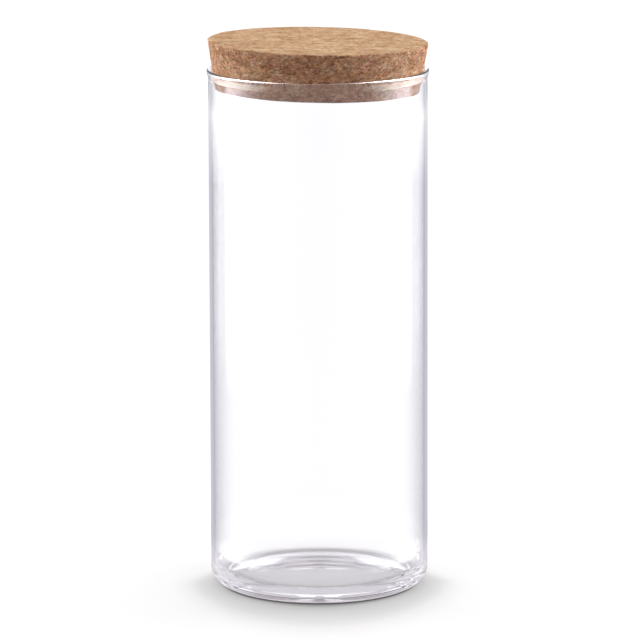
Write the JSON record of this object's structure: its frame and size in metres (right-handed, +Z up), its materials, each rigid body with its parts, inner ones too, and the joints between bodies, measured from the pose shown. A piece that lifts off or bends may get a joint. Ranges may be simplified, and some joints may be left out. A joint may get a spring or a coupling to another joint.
{
  "type": "glass storage jar with cork lid",
  "caption": "Tall straight-sided storage jar of clear glass with a melted lip and rounded heel, closed by a tapered stopper lid of pressed cork.",
  "frame": {"origin": "centre of the foot ring's flat underside, on the surface that the jar stands on", "axes": "+Z up along the axis of the glass, +X to the right and -Y towards the viewer; the jar itself looks the same all round, and only the lid's slight lean, down towards +X and +Y, marks a direction"},
  "size_m": [0.1014, 0.1014, 0.2538],
  "materials": {
    "clear_glass": "polished",
    "pressed_cork": "matte"
  },
  "bodies": {
    "jar": {"glass_jar": "clear_glass"},
    "lid": {"cork_lid": "pressed_cork"}
  },
  "joints": [
    {"name": "lid_lift", "type": "slide", "parent": "jar", "child": "lid", "axis": [0, 0, 1], "range_m": [0, 0.12]}
  ]
}
